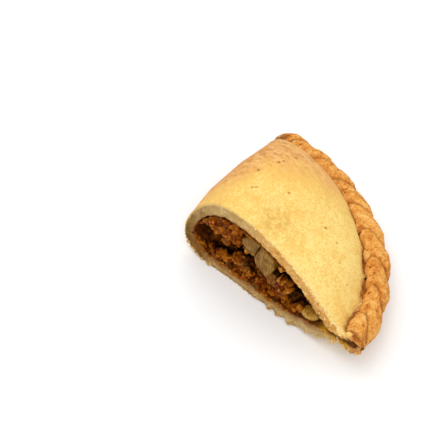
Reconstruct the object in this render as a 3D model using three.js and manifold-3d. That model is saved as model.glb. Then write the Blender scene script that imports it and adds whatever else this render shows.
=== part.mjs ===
// Half of a baked empanada, cut across the middle: a dough crust folded over and closed by a
// rope crimp, a minced filling with a hollow that opens at the cut, and slices of onion in it.
// Millimetres, +Z up. The shapes are laid out with x along the cut from the fold to the crimp,
// y from the cut back to the tip, and the underside at z = 0. The whole is centred at the end.

import * as THREE from "three";
import { mergeVertices } from "three/addons/utils/BufferGeometryUtils.js";
import Module from "manifold-3d";

const wasm = await Module();
wasm.setup();

// The domes: outside of the dough, inside of the dough, and the filling that lies within it.
// fold and reach are x at the cut, tip is y, and the rest are heights above the floor.
const OUTSIDE = {
  fold: 0.8,
  reach: 70.7,
  tip: 52.8,
  flange: 4.7,
  crown: 36.9,
  floor: 0,
  foldHeight: 9.5,
  lipTop: 13.2,
  lipBottom: 7.6,
  foldRadius: 10,
  lipRun: 19,
  topSteps: 28,
  baseSteps: 14,
  ringCount: 18,
};
const INSIDE = {
  fold: 4.8,
  reach: 62.6,
  tip: 45.6,
  flange: 1,
  crown: 31.4,
  floor: 4.4,
  foldHeight: 11.5,
  lipTop: 10.6,
  lipBottom: 9.2,
  foldRadius: 9,
  lipRun: 17,
  topSteps: 18,
  baseSteps: 9,
  ringCount: 10,
};
const FILLING_SPACE = {
  fold: 5.2,
  reach: 60.2,
  tip: 45,
  flange: 1,
  crown: 31.0,
  floor: 4.8,
  foldHeight: 11.5,
  lipTop: 10.5,
  lipBottom: 9.7,
  foldRadius: 9,
  lipRun: 17,
  topSteps: 18,
  baseSteps: 9,
  ringCount: 10,
};
const CROWN_X = 25;
const FOLD_SLANT = -2.3;
const FOLD_BULGE = 2.4;
const FOLD_BULGE_END = 0.74;
const FOLD_EAR = 2.1;
const FOLD_EAR_AT = 0.9;
const FOLD_EAR_RUN = 0.1;
const FOLD_SHOULDER = 2.4;
const FOLD_ROUND = 0.75;
const SIDE_FALL = 2;
const DOME_SHARE = 0.905;
const DOME_FULLNESS = 3.0;
const DOME_ROUND = 0.62;
const LIFT_FROM = 0.5;
const LIFT_POWER = 1.8;
const LIP_POWER = 1.6;
const LIP_ROUND = 0.2;
const DOME_END_TURN = 0.44 * Math.PI;

// The rope crimp: folds of dough twisted round the closed edge. Phase and pitch run from the cut.
const CRIMP_REACH = 70.2;
const CRIMP_TIP = 50.9;
const CRIMP_HEIGHT = 11.8;
const CRIMP_START = -20;
const CRIMP_END = 88.6;
const CRIMP_HALF_WIDTH = 5.3;
const CRIMP_HALF_DEPTH = 4.8;
const CRIMP_TAPER = 0.14;
const CRIMP_NARROWING = 0.36;
const CRIMP_NARROW_RUN = 65;
const CRIMP_SHIFT = 1.35;
const CRIMP_NARROW_POWER = 1.3;
const CRIMP_END_ROUND = 4.6;
const CRIMP_END_DROP = 3.6;
const CRIMP_END_CLOSE = 0.96;
const CRIMP_RINGS = 60;
const FOLDS_ROUND = 2;
const FOLD_PITCH = 11.7;
const FOLD_PHASE = 12;
const FOLD_FACETS = 12;
const FOLD_CREASE = 0.27;
const FOLD_SKEW = 0.85;
const FOLD_PLUMPNESS = 0.45;
const FOLD_HOOK = 3;
const FOLD_SCALLOP = 0.85;

// The filling's broken face at the cut, and the hollow in it as overlapping ovals: middle x, y, z,
// then half sizes.
const FACE_RECESS = 0.8;
const FACE_RELIEF = 0.7;
const FACE_SPAN = [80, 44];
const FACE_MIDDLE = [34, 18];
const FACE_STEP = 1.9;
const FACE_GRAIN = 2.7;
const FACE_LAYER = 9.5;
const FACE_FRONT = 0.2;
const HOLLOWS = [
  [20.5, 2, 14.2, 15, 11, 5.4],
  [33, 3, 13.4, 8, 10, 5.2],
  [48.5, 2, 13.6, 6.6, 9, 5],
];
const HOLLOW_RELIEF = 0.14;

// Clumps of mince that stand in the hollow: middle x, y, z and half width.
const CLUMPS = [
  [39.2, 4.8, 10.2, 3.4],
  [39.8, 5.2, 14.2, 3.2],
  [39.0, 5.4, 18.4, 3.2],
  [42.6, 4.6, 16.8, 2.4],
  [27.0, 4.4, 11.4, 3.1],
  [17.0, 4.2, 9.4, 2.6],
  [49.0, 3.6, 10.6, 2.6],
  [12.4, 2.8, 20.6, 2.4],
  [19.2, 2.6, 19.4, 2.1],
];
const CLUMP_RELIEF = 0.42;
const SEED = 7;

// Onion slices: how far back the cut face lies, the gap round each, and the rounded end piece as
// middle x, y, z, half sizes and lean.
const ONION_FACE = 0.7;
const ONION_GAP = 0.35;
const ONION_END = [53.4, 2.6, 9.2, 3.7, 2.1, 2.3];
const ONION_END_LEAN = 24;

// Flakes along the cut edge.
const FLAKE_COUNT = 13;
const FLAKE_SIZE = 1.25;
const FLAKES_FROM = 10;
const FLAKES_TO = 60;
const FLAKE_RISE_FROM = 50;
const FLAKE_RISE = 0.35;

// The open seam between the two layers at the cut, and the pit in the rolled end of the crimp.
const SEAM_FROM = [61, 9.9];
const SEAM_TO = [70.5, 11.2];
const SEAM_GAP = 0.7;
const SEAM_DEPTH = 3;
const CURL_PIT = [72.6, 0, 13.6, 1.5, 3, 0.8];

const OVERRUN = 6;
const FIELD = 120;
const GRID = 0.005;

let seedState = SEED;

function draw(low, high) {
  seedState = (seedState * 16807) % 2147483647;
  return low + (high - low) * (seedState / 2147483647);
}

function toSolid(geometry) {
  const bare = new THREE.BufferGeometry();
  bare.setAttribute("position", geometry.getAttribute("position"));
  if (geometry.index) {
    bare.setIndex(geometry.index);
  }
  const merged = mergeVertices(bare, 1e-4);
  const corners = merged.index.array;
  const kept = [];
  for (let i = 0; i < corners.length; i += 3) {
    const [a, b, c] = [corners[i], corners[i + 1], corners[i + 2]];
    if (a !== b && b !== c && c !== a) {
      kept.push(a, b, c);
    }
  }
  const mesh = new wasm.Mesh({
    numProp: 3,
    vertProperties: new Float32Array(merged.getAttribute("position").array),
    triVerts: new Uint32Array(kept),
  });
  return new wasm.Manifold(mesh);
}

function toGeometry(solid) {
  const mesh = solid.getMesh();
  const geometry = new THREE.BufferGeometry();
  geometry.setAttribute("position", new THREE.BufferAttribute(mesh.vertProperties, 3));
  geometry.setIndex(new THREE.BufferAttribute(mesh.triVerts, 1));
  geometry.computeVertexNormals();
  return geometry;
}

// The one body that counts, with its corners on a fine grid and without loose scraps.
function largestBody(solid) {
  let kept = solid;
  for (let pass = 0; pass < 3; pass += 1) {
    const geometry = toGeometry(kept);
    const position = geometry.getAttribute("position");
    for (let i = 0; i < position.array.length; i += 1) {
      position.array[i] = Math.round(position.array[i] / GRID) * GRID;
    }
    const bodies = toSolid(geometry).decompose();
    kept = bodies.reduce((best, body) => (body.volume() > best.volume() ? body : best));
  }
  return kept;
}

// A closed solid through rings of equal point count, with a fan at each end.
function loft(rings) {
  const count = rings[0].length;
  const points = rings.flat();
  const faces = [];
  for (let ring = 0; ring + 1 < rings.length; ring += 1) {
    for (let i = 0; i < count; i += 1) {
      const a = ring * count + i;
      const b = ring * count + ((i + 1) % count);
      faces.push(a, b, b + count, a, b + count, a + count);
    }
  }
  const last = (rings.length - 1) * count;
  const middleOf = (ring) => ring.reduce((sum, p) => sum.add(p), new THREE.Vector3()).divideScalar(count);
  const first = points.push(middleOf(rings[0])) - 1;
  const final = points.push(middleOf(rings[rings.length - 1])) - 1;
  for (let i = 0; i < count; i += 1) {
    const next = (i + 1) % count;
    faces.push(first, next, i);
    faces.push(final, last + i, last + next);
  }
  const geometry = new THREE.BufferGeometry().setFromPoints(points);
  geometry.setIndex(faces);
  return toSolid(geometry);
}

function box(x0, x1, y0, y1, z0, z1) {
  const geometry = new THREE.BoxGeometry(x1 - x0, y1 - y0, z1 - z0);
  geometry.translate((x0 + x1) / 2, (y0 + y1) / 2, (z0 + z1) / 2);
  return toSolid(geometry);
}

// Blocks larger than the whole, for trimming: all that lies before a plane y, and below the floor.
const front = (y) => box(-FIELD, FIELD, -FIELD, y, -FIELD, FIELD);
const under = () => box(-FIELD, FIELD, -FIELD, FIELD, -FIELD, 0);

function oval(x, y, z, halfX, halfY, halfZ) {
  const geometry = new THREE.SphereGeometry(1, 14, 9);
  geometry.scale(halfX, halfY, halfZ);
  geometry.translate(x, y, z);
  return toSolid(geometry);
}

// One section of a dome at a distance from the cut: over the top from the fold to the pressed
// edge, then back along the underside.
function domeRing(form, y) {
  const along = Math.min(1, Math.max(0, y / form.tip));
  const edge = form.reach * Math.sqrt(1 - along ** 2);
  const bulge = Math.sin(Math.PI * Math.min(1, along / FOLD_BULGE_END));
  const ear = FOLD_EAR * Math.exp(-(((along - FOLD_EAR_AT) / FOLD_EAR_RUN) ** 2));
  const fold = form.fold + FOLD_SLANT * along ** 2 - FOLD_BULGE * bulge - ear;
  const root = edge - form.flange;
  const width = root - fold;
  const rise = Math.max(0, 1 - (along / DOME_SHARE) ** DOME_FULLNESS) ** DOME_ROUND;
  const crown = form.lipTop + (form.crown - form.lipTop) * rise;
  const lift = Math.max(0, (along - LIFT_FROM) / (1 - LIFT_FROM)) ** LIFT_POWER;
  const base = form.floor + (form.lipBottom - form.floor) * lift;
  const side = form.foldHeight + ((form.lipTop + form.lipBottom) / 2 - form.foldHeight) * lift;
  const crownShare = (CROWN_X - form.fold) / (form.reach - form.flange - form.fold);
  const foldRun = Math.min(form.foldRadius, 0.4 * width);
  const lipRun = Math.min(form.lipRun, 0.5 * width);
  const ring = [];
  for (let i = 0; i <= form.topSteps; i += 1) {
    const share = (1 - Math.cos((Math.PI * i) / form.topSteps)) / 2;
    let z = 0;
    if (share < crownShare) {
      const back = (crownShare - share) / crownShare;
      z = side + (crown - side) * (1 - back ** FOLD_SHOULDER) ** FOLD_ROUND;
    } else {
      const out = (share - crownShare) / (1 - crownShare);
      z = crown - (crown - form.lipTop) * out ** SIDE_FALL;
    }
    ring.push(new THREE.Vector3(fold + width * share, y, z));
  }
  ring.push(new THREE.Vector3(edge, y, form.lipTop - LIP_ROUND));
  ring.push(new THREE.Vector3(edge, y, form.lipBottom + LIP_ROUND));
  for (let i = 0; i < form.baseSteps; i += 1) {
    const share = (1 + Math.cos((Math.PI * i) / form.baseSteps)) / 2;
    const fromFold = Math.min(1, (width * share) / foldRun);
    const toLip = Math.max(0, 1 - (width * (1 - share)) / lipRun);
    const curl = 1 - Math.sqrt(1 - (1 - fromFold) ** 2);
    const z = base + (side - base) * curl + (form.lipBottom - base) * toLip ** LIP_POWER;
    ring.push(new THREE.Vector3(fold + width * share, y, z));
  }
  return ring;
}

function dome(form) {
  const rings = [domeRing(form, -OVERRUN)];
  for (let i = 0; i <= form.ringCount; i += 1) {
    const turn = (DOME_END_TURN * i) / form.ringCount;
    rings.push(domeRing(form, form.tip * Math.sin(turn)));
  }
  return loft(rings);
}

// The crimp's middle line, measured from the cut towards the tip.
const crimpLine = new THREE.EllipseCurve(
  0, 0, CRIMP_REACH, CRIMP_TIP,
  THREE.MathUtils.degToRad(CRIMP_START), THREE.MathUtils.degToRad(CRIMP_END),
);
const crimpLength = crimpLine.getLength();
const cutShare = new THREE.EllipseCurve(
  0, 0, CRIMP_REACH, CRIMP_TIP, THREE.MathUtils.degToRad(CRIMP_START), 0,
).getLength() / crimpLength;

function onCrimp(distance, outward, height) {
  const share = Math.min(1, Math.max(0, cutShare + distance / crimpLength));
  const overshoot = cutShare + distance / crimpLength - share;
  const point = crimpLine.getPointAt(share);
  const ahead = crimpLine.getTangentAt(share);
  const x = point.x + ahead.x * overshoot * crimpLength + ahead.y * outward;
  const y = point.y + ahead.y * overshoot * crimpLength - ahead.x * outward;
  return new THREE.Vector3(x, y, CRIMP_HEIGHT + height);
}

// The rope: each ring is a round of folds with a crease between them, turned along the edge.
function crimp() {
  const rings = [];
  const end = crimpLength * (1 - cutShare) + CRIMP_END_ROUND;
  const twist = (2 * Math.PI) / (FOLDS_ROUND * FOLD_PITCH);
  const facets = FOLDS_ROUND * FOLD_FACETS;
  for (let i = 0; i <= CRIMP_RINGS; i += 1) {
    const distance = -OVERRUN + ((end + OVERRUN) * i) / CRIMP_RINGS;
    const past = Math.max(0, 1 - (end - distance) / (2 * CRIMP_END_ROUND));
    const taper = 1 - (CRIMP_TAPER * Math.max(0, distance)) / end;
    const toCut = Math.min(1, Math.max(0, 1 - distance / CRIMP_NARROW_RUN)) ** CRIMP_NARROW_POWER;
    const narrow = 1 - CRIMP_NARROWING * toCut;
    const shift = CRIMP_SHIFT * toCut;
    const close = taper * Math.sqrt(1 - (CRIMP_END_CLOSE * past) ** 2);
    const hook = FOLD_HOOK * Math.min(1, (end - distance) / (4 * CRIMP_END_ROUND));
    const scallop = FOLD_SCALLOP * Math.cos((2 * Math.PI * (distance - FOLD_PHASE)) / FOLD_PITCH);
    const ring = [];
    for (let k = 0; k < facets; k += 1) {
      const share = (k % FOLD_FACETS) / FOLD_FACETS;
      const swell = Math.sin(Math.PI * share ** FOLD_SKEW) ** FOLD_PLUMPNESS;
      const scale = close * (1 - FOLD_CREASE * (1 - swell));
      const turn = Math.PI + twist * (distance - FOLD_PHASE) - (2 * Math.PI * k) / facets;
      const width = (CRIMP_HALF_WIDTH + scallop) * narrow;
      const outward = shift + width * scale * Math.cos(turn);
      const height = CRIMP_HALF_DEPTH * scale * Math.sin(turn) - CRIMP_END_DROP * past ** 2;
      ring.push(onCrimp(distance + hook * Math.sin(turn), outward, height));
    }
    rings.push(ring);
  }
  return loft(rings);
}

// Smooth uneven relief between -1 and 1, from values drawn once for each point of a lattice.
const lattice = Array.from({ length: 512 }, () => draw(-1, 1));

function relief(x, y, z) {
  const cell = [Math.floor(x), Math.floor(y), Math.floor(z)];
  const ease = [x - cell[0], y - cell[1], z - cell[2]].map((t) => t * t * (3 - 2 * t));
  let sum = 0;
  for (let corner = 0; corner < 8; corner += 1) {
    const step = [corner & 1, (corner >> 1) & 1, corner >> 2];
    const weight = step.reduce((w, up, i) => w * (up ? ease[i] : 1 - ease[i]), 1);
    const [i, j, k] = cell.map((c, n) => c + step[n] + 64);
    sum += weight * lattice[(i * 73 + j * 179 + k * 283) % lattice.length];
  }
  return sum;
}

// A ball whose surface swells and sinks, so that it breaks up like mince.
function lump(geometry, x, y, z, half, unevenness, grain) {
  const position = geometry.getAttribute("position");
  for (let i = 0; i < position.count; i += 1) {
    const [u, v, w] = [position.getX(i), position.getY(i), position.getZ(i)];
    const at = [x + half[0] * u, y + half[1] * v, z + half[2] * w];
    const swell = 1 + unevenness * (relief(at[0] / grain, at[1] / grain, at[2] / grain) + 0.2);
    position.setXYZ(i, x + half[0] * u * swell, y + half[1] * v * swell, z + half[2] * w * swell);
  }
  return toSolid(geometry);
}

// Everything in front of the filling's broken face.
function beforeFace() {
  const [width, height] = FACE_SPAN;
  const across = Math.round(width / FACE_STEP);
  const up = Math.round(height / FACE_STEP);
  const geometry = new THREE.BoxGeometry(width, FIELD, height, across, 1, up);
  geometry.translate(FACE_MIDDLE[0], -FIELD / 2, FACE_MIDDLE[1]);
  const position = geometry.getAttribute("position");
  for (let i = 0; i < position.count; i += 1) {
    if (position.getY(i) > -FIELD / 2) {
      const bump = relief(position.getX(i) / FACE_GRAIN, FACE_LAYER, position.getZ(i) / FACE_GRAIN);
      position.setY(i, FACE_RECESS - FACE_RELIEF * bump);
    }
  }
  return toSolid(geometry);
}

// An onion slice: a four-sided outline with bowed sides, run back from the cut.
function onion(corners, bows, face, depth, grow) {
  const middle = corners.reduce((sum, [x, z]) => [sum[0] + x / 4, sum[1] + z / 4], [0, 0]);
  const grown = corners.map(([x, z]) => {
    const reach = Math.hypot(x - middle[0], z - middle[1]);
    const scale = (reach + 1.4 * grow) / reach;
    return [middle[0] + (x - middle[0]) * scale, middle[1] + (z - middle[1]) * scale];
  });
  const shape = new THREE.Shape();
  shape.moveTo(...grown[0]);
  for (let i = 0; i < 4; i += 1) {
    const [x0, z0] = grown[i];
    const [x1, z1] = grown[(i + 1) % 4];
    const length = Math.hypot(x1 - x0, z1 - z0);
    const bowX = (x0 + x1) / 2 + (bows[i] * (z1 - z0)) / length;
    const bowZ = (z0 + z1) / 2 - (bows[i] * (x1 - x0)) / length;
    shape.quadraticCurveTo(bowX, bowZ, x1, z1);
  }
  const geometry = new THREE.ExtrudeGeometry(shape, {
    depth: depth + 2 * grow,
    curveSegments: 5,
    bevelEnabled: false,
  });
  geometry.rotateX(Math.PI / 2);
  geometry.translate(0, face + depth + grow, 0);
  return toSolid(geometry);
}

const onionUpper = (grow) => onion(
  [[24.6, 21.6], [30.4, 20.6], [33.2, 28.6], [25.6, 28.2]], [0.6, -0.4, 0.8, -0.6], ONION_FACE, 6.5, grow,
);
const onionLower = (grow) => onion(
  [[31.2, 20.4], [36.6, 15.2], [39.8, 25.6], [34, 28.4]], [0.5, 0.7, 0.8, 0.3], ONION_FACE, 6, grow,
);

function onionEnd(grow) {
  const [x, y, z, ...half] = ONION_END;
  const geometry = new THREE.SphereGeometry(1, 16, 10);
  geometry.scale(...half.map((size) => size + grow));
  geometry.rotateY(-THREE.MathUtils.degToRad(ONION_END_LEAN));
  geometry.translate(x, y, z);
  return toSolid(geometry);
}

function seam() {
  const run = [SEAM_TO[0] - SEAM_FROM[0], SEAM_TO[1] - SEAM_FROM[1]];
  const geometry = new THREE.BoxGeometry(Math.hypot(...run), 2 * SEAM_DEPTH, SEAM_GAP);
  geometry.rotateY(-Math.atan2(run[1], run[0]));
  geometry.translate(SEAM_FROM[0] + run[0] / 2, 0, SEAM_FROM[1] + run[1] / 2);
  return toSolid(geometry);
}

function flakes() {
  let solid = null;
  for (let i = 0; i < FLAKE_COUNT; i += 1) {
    const x = FLAKES_FROM + ((FLAKES_TO - FLAKES_FROM) * (i + draw(0.1, 0.9))) / FLAKE_COUNT;
    const geometry = new THREE.IcosahedronGeometry(FLAKE_SIZE, 0);
    const size = draw(0.6, 1.15);
    geometry.scale(size * draw(0.9, 1.8), size * draw(0.7, 1), size * draw(0.45, 0.7));
    geometry.rotateY(draw(-0.4, 0.4));
    const lift = 0.9 * FLAKE_SIZE + FLAKE_RISE * Math.max(0, x - FLAKE_RISE_FROM);
    geometry.translate(x, 0, lift);
    const body = toSolid(geometry);
    solid = solid ? solid.add(body) : body;
  }
  return solid;
}

function crust() {
  let solid = dome(OUTSIDE).add(crimp());
  solid = solid.subtract(front(0));
  solid = solid.add(flakes());
  solid = solid.subtract(dome(INSIDE)).subtract(seam()).subtract(oval(...CURL_PIT));
  return largestBody(solid.subtract(under()));
}

function filling() {
  const space = dome(FILLING_SPACE);
  let solid = space.subtract(beforeFace());
  for (const [x, y, z, ...half] of HOLLOWS) {
    solid = solid.subtract(lump(new THREE.SphereGeometry(1, 22, 13), x, y, z, half, HOLLOW_RELIEF, 2.1));
  }
  for (const [x, y, z, half] of CLUMPS) {
    const size = [half, 0.9 * half, 0.95 * half];
    solid = solid.add(lump(new THREE.IcosahedronGeometry(1, 2), x, y, z, size, CLUMP_RELIEF, 1.4));
  }
  solid = solid.intersect(space.subtract(front(FACE_FRONT)));
  solid = solid.subtract(onionUpper(ONION_GAP)).subtract(onionLower(ONION_GAP));
  return largestBody(solid.subtract(onionEnd(ONION_GAP)));
}

const group = new THREE.Group();
group.name = "empanada_half";

function addNode(name, solid, colour, roughness) {
  const material = new THREE.MeshStandardMaterial({ color: colour, roughness, metalness: 0 });
  const mesh = new THREE.Mesh(toGeometry(solid), material);
  mesh.name = name;
  group.add(mesh);
}

addNode("crust", crust(), 0xe3b55f, 0.75);
addNode("filling", filling(), 0x8a4a1e, 0.5);
addNode("onion_upper", onionUpper(0), 0xb9a27c, 0.4);
addNode("onion_lower", onionLower(0), 0xb9a27c, 0.4);
addNode("onion_end", onionEnd(0), 0xb09a62, 0.4);

const extent = new THREE.Box3().setFromObject(group);
const middle = extent.getCenter(new THREE.Vector3());
for (const mesh of group.children) {
  mesh.geometry.translate(-middle.x, -middle.y, -extent.min.z);
}

export default group;
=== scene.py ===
import math

import bpy
import numpy as np
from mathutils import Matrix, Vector, noise
from mathutils.bvhtree import BVHTree


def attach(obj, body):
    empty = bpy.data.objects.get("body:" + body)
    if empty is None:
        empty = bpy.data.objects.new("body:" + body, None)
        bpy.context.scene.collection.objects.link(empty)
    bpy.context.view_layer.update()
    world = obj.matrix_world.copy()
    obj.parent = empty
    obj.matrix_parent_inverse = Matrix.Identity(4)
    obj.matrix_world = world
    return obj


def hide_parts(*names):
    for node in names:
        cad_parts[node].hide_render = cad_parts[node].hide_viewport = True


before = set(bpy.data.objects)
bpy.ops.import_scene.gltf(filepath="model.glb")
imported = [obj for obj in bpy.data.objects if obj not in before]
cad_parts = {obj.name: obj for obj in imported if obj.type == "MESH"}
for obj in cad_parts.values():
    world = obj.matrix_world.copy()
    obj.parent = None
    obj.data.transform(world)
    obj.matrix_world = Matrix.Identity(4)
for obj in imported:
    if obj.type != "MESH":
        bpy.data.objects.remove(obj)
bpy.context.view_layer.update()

mm = 0.001

# Layout used below, in millimetres: x along the cut from the fold to the crimp, y back from the cut
# to the tip, z up from the floor.
layout = {
    "foldAtCut": 0.8,       # x of the outer fold where the cut meets it
    "cutTolerance": 0.05,
    "mergeWithin": 0.002,   # joins the loose triangles of a node's copy
}


# working helpers

def pick(piece):
    if bpy.context.object and bpy.context.object.mode != "OBJECT":
        bpy.ops.object.mode_set(mode="OBJECT")
    bpy.ops.object.select_all(action="DESELECT")
    piece.select_set(True)
    bpy.context.view_layer.objects.active = piece


def useModifier(piece, kind, **values):
    pick(piece)
    modifier = piece.modifiers.new(kind.lower(), kind)
    for key, value in values.items():
        setattr(modifier, key, value)
    bpy.ops.object.modifier_apply(modifier=modifier.name)


def remesh(piece, voxel):
    useModifier(piece, "REMESH", mode="VOXEL", voxel_size=voxel * mm)


def readAll(source, name, width, kind=float):
    values = np.empty(len(source) * width, kind)
    source.foreach_get(name, values)
    return values.reshape(-1, width)


def readSpots(piece):
    return readAll(piece.data.vertices, "co", 3)


def readNormals(piece):
    return readAll(piece.data.vertex_normals, "vector", 3)


def readEdges(piece):
    return readAll(piece.data.edges, "vertices", 2, np.int32)


def readValue(piece, name):
    return readAll(piece.data.attributes[name].data, "value", 1, np.float32)[:, 0].astype(float)


def writeSpots(piece, spots):
    piece.data.vertices.foreach_set("co", spots.ravel())
    piece.data.update()


def findCorner():
    spots = readSpots(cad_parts["crust"])
    levels, counts = np.unique(np.round(spots[:, 1], 5), return_counts=True)
    cutY = levels[counts.argmax()]
    onCut = np.abs(spots[:, 1] - cutY) < layout["cutTolerance"] * mm
    return np.array([spots[onCut, 0].min() - layout["foldAtCut"] * mm, cutY, 0.0])


corner = findCorner()


def toLayout(spots):
    return (np.asarray(spots) - corner) / mm


def fromLayout(spots):
    return np.asarray(spots) * mm + corner


def ease(values, low, high):
    share = np.clip((values - low) / (high - low), 0, 1)
    return share * share * (3 - 2 * share)


def hump(values, middle, width):
    return np.exp(-(((values - middle) / width) ** 2))


def unevenness(spots, size, seed, octaves=3):    # fractal noise about -1..1 for many places
    shift = Vector((seed * 7.3, seed * 3.1, seed * 5.7))
    return np.array([noise.fractal(Vector(spot) / size + shift, 1.0, 2.1, octaves) for spot in spots])


def spread(values, edges, rounds):       # blurs a value over the mesh
    a, b = edges.T
    count = len(values)
    links = np.bincount(a, minlength=count) + np.bincount(b, minlength=count)
    for _ in range(rounds):
        total = np.bincount(a, values[b], count) + np.bincount(b, values[a], count)
        values = 0.5 * values + 0.5 * total / np.maximum(links, 1)
    return values


def giveGroup(piece, name, weights):
    group = piece.vertex_groups.new(name=name)
    steps = 24
    levels = np.round(np.clip(weights, 0, 1) * steps).astype(int)
    for level in range(1, steps + 1):
        members = np.nonzero(levels == level)[0]
        if len(members):
            group.add(members.tolist(), level / steps, "REPLACE")


def giveValue(piece, name, values):
    attribute = piece.data.attributes.new(name, "FLOAT", "POINT")
    attribute.data.foreach_set("value", np.clip(values, 0, 1).astype(np.float32))


def displace(piece, texture, size, strength, middle, group):
    texture.noise_scale = size * mm
    texture.noise_basis = "ORIGINAL_PERLIN"
    useModifier(
        piece, "DISPLACE", texture=texture, texture_coords="LOCAL",
        strength=strength * mm, mid_level=middle, vertex_group=group,
    )


def roughen(piece, name, size, strength, group="", depth=2):
    texture = bpy.data.textures.new(name, "CLOUDS")
    texture.noise_depth = depth
    displace(piece, texture, size, strength, 0.5, group)


def fray(piece, name, size, strength, group):      # bent noise, so that a straight edge gets no even scallops
    texture = bpy.data.textures.new(name, "DISTORTED_NOISE")
    texture.noise_distortion = "ORIGINAL_PERLIN"
    texture.distortion = 2.0
    displace(piece, texture, size, strength, 0, group)


def thinHidden(piece, hidden, kept):      # fewer faces where nothing can be seen
    giveGroup(piece, "hiddenArea", hidden.astype(float))
    ratio = 1 - (1 - kept) * hidden.mean()
    useModifier(piece, "DECIMATE", ratio=ratio, vertex_group="hiddenArea", vertex_group_factor=1000)
    piece.vertex_groups.clear()


def copyNode(nodeName, pieceName):
    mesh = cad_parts[nodeName].data.copy()
    mesh.materials.clear()
    piece = bpy.data.objects.new(pieceName, mesh)
    bpy.context.scene.collection.objects.link(piece)
    pick(piece)
    bpy.ops.object.mode_set(mode="EDIT")
    bpy.ops.mesh.select_all(action="SELECT")
    bpy.ops.mesh.remove_doubles(threshold=layout["mergeWithin"] * mm)
    bpy.ops.mesh.customdata_custom_splitnormals_clear()
    bpy.ops.object.mode_set(mode="OBJECT")
    return piece


def treeOf(piece):      # for looking up what is near a place
    return BVHTree.FromObject(piece, bpy.context.evaluated_depsgraph_get())


nodeTrees = {name: treeOf(node) for name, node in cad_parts.items()}


def distances(tree, spots, reach):
    found = [tree.find_nearest(Vector(spot), reach * mm)[3] for spot in spots]
    return np.array([reach if d is None else d / mm for d in found])


def finishPiece(piece, material, slotName, *nodeNames):
    piece.data.materials.clear()
    piece.data.materials.append(material)
    pick(piece)
    bpy.ops.object.shade_smooth()
    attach(piece, "root")
    if nodeNames:
        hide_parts(*nodeNames)
    piece.data.calc_loop_triangles()
    print(piece.name, len(piece.data.loop_triangles), "triangles")
    return piece


# material helpers

def tone(code):     # "#rrggbb" as seen on screen, to the shader's linear colour
    parts = [int(code[i:i + 2], 16) / 255 for i in (1, 3, 5)]
    return tuple(p / 12.92 if p <= 0.04045 else ((p + 0.055) / 1.055) ** 2.4 for p in parts) + (1.0,)


def startMaterial(name):
    material = bpy.data.materials.new(name)
    material.use_nodes = True
    tree = material.node_tree
    place = tree.nodes.new("ShaderNodeTexCoord").outputs["Object"]
    return material, tree, tree.nodes["Principled BSDF"], place


def link(tree, source, socket):
    if hasattr(source, "is_output"):
        tree.links.new(source, socket)
    else:
        socket.default_value = tone(source) if isinstance(source, str) else source


def setSurface(tree, shader, colour, rough, shine):
    link(tree, colour, shader.inputs["Base Color"])
    shader.inputs["Roughness"].default_value = rough
    shader.inputs["Specular IOR Level"].default_value = shine


def noiseOf(tree, place, size, detail=3.0, rough=0.55, stretch=None):
    if stretch:
        mapping = tree.nodes.new("ShaderNodeMapping")
        mapping.inputs["Scale"].default_value = stretch
        tree.links.new(place, mapping.inputs["Vector"])
        place = mapping.outputs["Vector"]
    node = tree.nodes.new("ShaderNodeTexNoise")
    node.inputs["Scale"].default_value = 1 / (size * mm)
    node.inputs["Detail"].default_value = detail
    node.inputs["Roughness"].default_value = rough
    tree.links.new(place, node.inputs["Vector"])
    return node.outputs["Fac"]


def cellsOf(tree, place, size, output="Distance"):
    node = tree.nodes.new("ShaderNodeTexVoronoi")
    node.inputs["Scale"].default_value = 1 / (size * mm)
    tree.links.new(place, node.inputs["Vector"])
    return node.outputs[output]


def rampOf(tree, factor, *stops):
    node = tree.nodes.new("ShaderNodeValToRGB")
    node.color_ramp.interpolation = "EASE"
    while len(node.color_ramp.elements) < len(stops):
        node.color_ramp.elements.new(0.5)
    for element, (position, colour) in zip(node.color_ramp.elements, stops):
        element.position = position
        element.color = tone(colour) if isinstance(colour, str) else (colour, colour, colour, 1)
    tree.links.new(factor, node.inputs["Fac"])
    return node.outputs["Color"]


def mixOf(tree, factor, first, second):
    node = tree.nodes.new("ShaderNodeMix")
    node.data_type = "RGBA"
    for value, socket in ((factor, 0), (first, 6), (second, 7)):
        link(tree, value, node.inputs[socket])
    return node.outputs[2]


def mathOf(tree, operation, first, second):
    node = tree.nodes.new("ShaderNodeMath")
    node.operation = operation
    link(tree, first, node.inputs[0])
    link(tree, second, node.inputs[1])
    return node.outputs[0]


def scaled(tree, value, factor, middle=0.0):     # (value - middle) * factor
    if middle:
        value = mathOf(tree, "SUBTRACT", value, middle)
    return mathOf(tree, "MULTIPLY", value, factor)


def added(tree, *values):
    total = values[0]
    for value in values[1:]:
        total = mathOf(tree, "ADD", total, value)
    return total


def mottled(tree, base, *noises):       # each noise about 0.5, with its strength
    return added(tree, base, *(scaled(tree, value, strength, 0.5) for value, strength in noises))


def valueOf(tree, name):
    node = tree.nodes.new("ShaderNodeAttribute")
    node.attribute_name = name
    return node.outputs["Fac"]


def coated(tree, base, *coats):     # each coat: the value that it follows, its share and its colour
    for name, share, colour in coats:
        base = mixOf(tree, scaled(tree, valueOf(tree, name), share), base, colour)
    return base


def bumpOf(tree, shader, height, strength, depth):
    node = tree.nodes.new("ShaderNodeBump")
    node.inputs["Strength"].default_value = strength
    node.inputs["Distance"].default_value = depth * mm
    tree.links.new(height, node.inputs["Height"])
    tree.links.new(node.outputs["Normal"], shader.inputs["Normal"])


# camera

cameraView = {
    "azimuth": 42.0,
    "elevation": 52.0,
    "distance": 500.0,
    "target": (4.8, 13.3, 5.2),
    "frameWidth": 148.15,
    "imageSide": 440,
    "sensor": 36.0,
    "clipStart": 0.01,
}


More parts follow.
